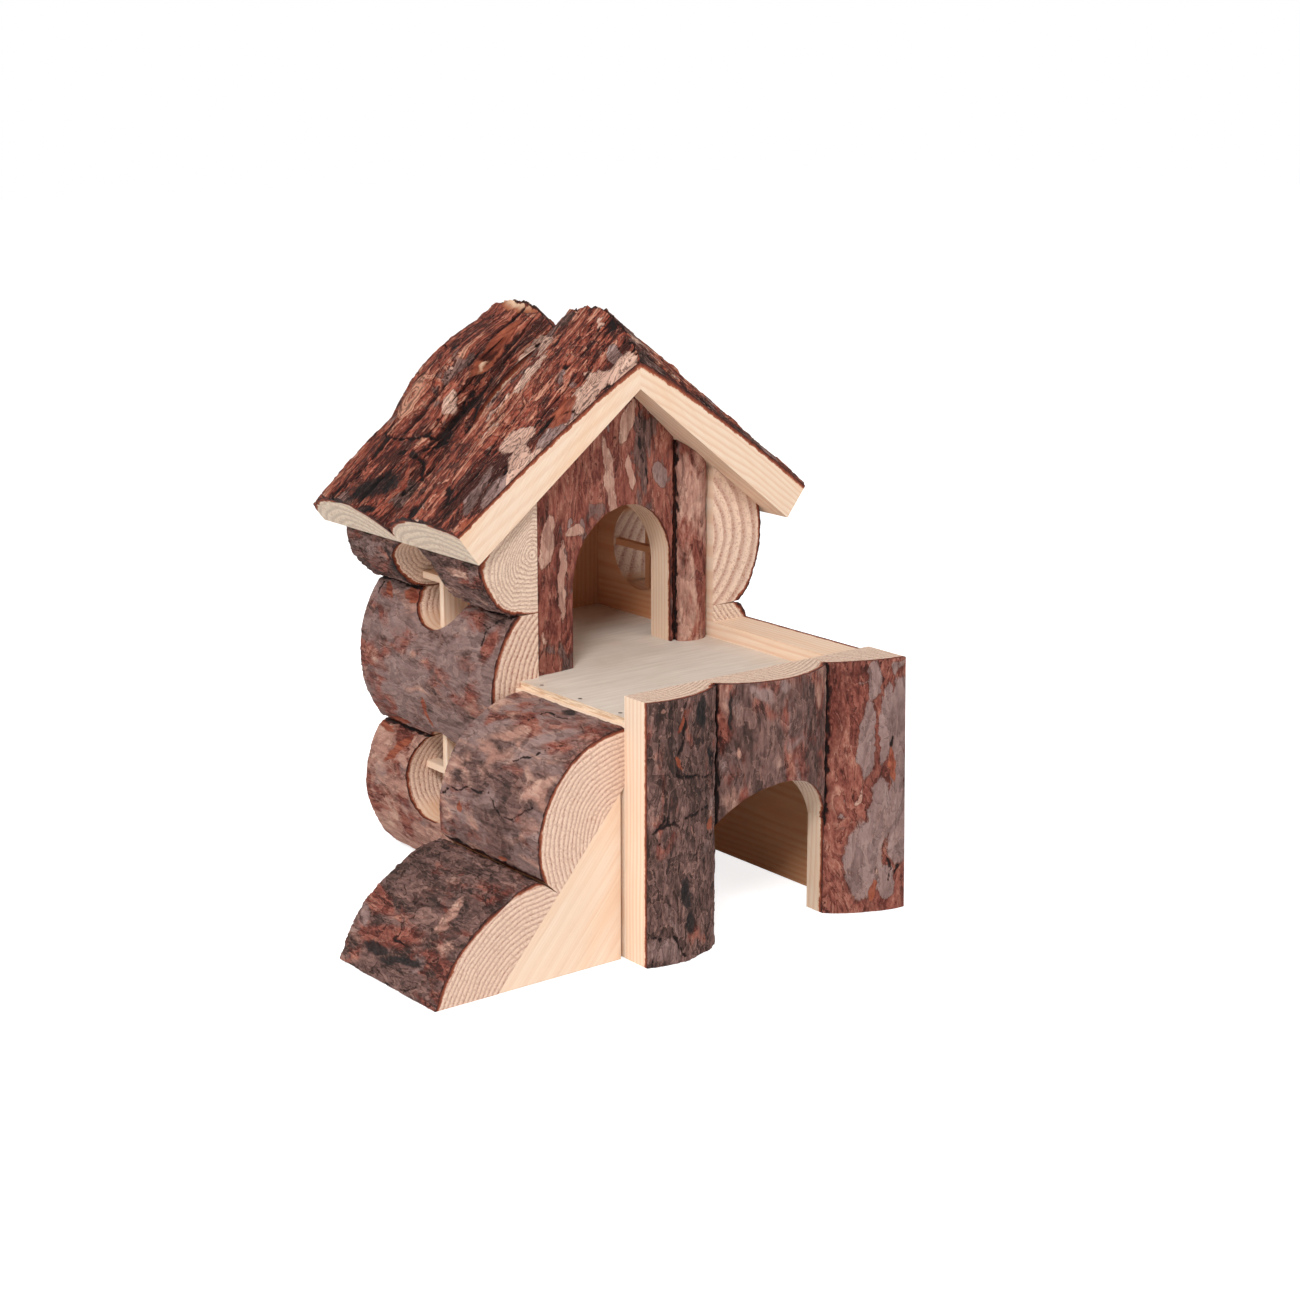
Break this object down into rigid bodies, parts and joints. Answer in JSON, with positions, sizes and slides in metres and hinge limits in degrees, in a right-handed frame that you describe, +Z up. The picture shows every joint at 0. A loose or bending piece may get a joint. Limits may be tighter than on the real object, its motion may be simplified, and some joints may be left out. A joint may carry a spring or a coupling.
{
  "type": "small animal house",
  "caption": "Gabled small-animal house of bark-covered half-logs, with arched doorways, round barred windows, a terrace and outside stairs.",
  "frame": {"origin": "on the ground, under the middle of the whole house's bounding box", "axes": "+Z up; the doorways face -Y; the stairs climb along the -X side towards +X"},
  "size_m": [0.1588, 0.1396, 0.1579],
  "materials": {
    "bark_log": "half-log, rough brown bark on the round side, raw sawn wood on the flat faces and ends",
    "pine": "raw sawn softwood, long grain",
    "stick": "raw split softwood sticks",
    "plywood": "raw thin plywood, pale face veneer",
    "brad_steel": "plain wire brads"
  },
  "bodies": {
    "root": {"front_left_post": "bark_log", "front_lintel": "bark_log", "front_right_post": "bark_log", "left_lower_log": "bark_log", "left_middle_log": "bark_log", "left_upper_log": "bark_log", "right_lower_log": "bark_log", "right_middle_log": "bark_log", "right_upper_log": "bark_log", "gable_board_wide": "bark_log", "gable_board_narrow": "bark_log", "rear_board_left": "bark_log", "rear_board_middle": "bark_log", "rear_board_right": "bark_log", "roof_left_front": "bark_log", "roof_left_rear": "bark_log", "roof_right_front": "bark_log", "roof_right_rear": "bark_log", "step_lower": "bark_log", "step_upper": "bark_log", "left_side_board": "pine", "stringer_front": "pine", "stringer_rear": "pine", "left_upper_bar_upright": "stick", "left_upper_bar_level": "stick", "left_lower_bar_upright": "stick", "left_lower_bar_level": "stick", "right_upper_bar_upright": "stick", "right_upper_bar_level": "stick", "right_lower_bar_upright": "stick", "right_lower_bar_level": "stick", "floor_board": "plywood", "floor_brads": "brad_steel"}
  },
  "joints": []
}
